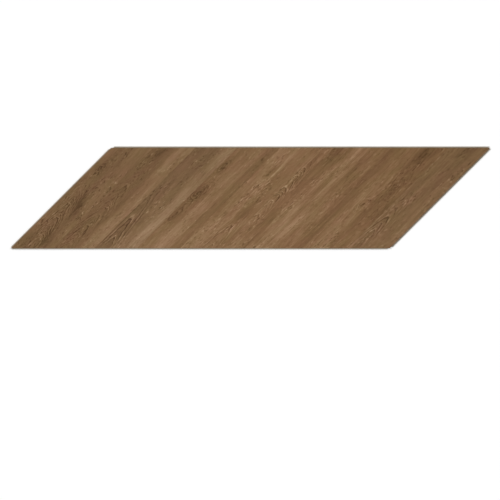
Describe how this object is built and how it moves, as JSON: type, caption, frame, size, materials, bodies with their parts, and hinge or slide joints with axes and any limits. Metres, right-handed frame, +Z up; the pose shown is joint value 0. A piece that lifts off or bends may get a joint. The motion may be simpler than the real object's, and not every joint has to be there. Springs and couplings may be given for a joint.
{
  "type": "rigid vinyl floor plank",
  "caption": "Flat floor plank cut to a slanted parallelogram, with a chevron oak print under a clear wear layer and a folding click edge all round.",
  "frame": {"origin": "middle of the face outline, on the underside", "axes": "+X along the long edges, +Y across them towards the grooved long edge, +Z up through the wear face"},
  "size_m": [1.5765, 0.3369, 0.0055],
  "materials": {
    "plank": "matt embossed wood print on a rigid mineral-filled vinyl core"
  },
  "bodies": {
    "root": {"plank": "plank"}
  },
  "joints": []
}
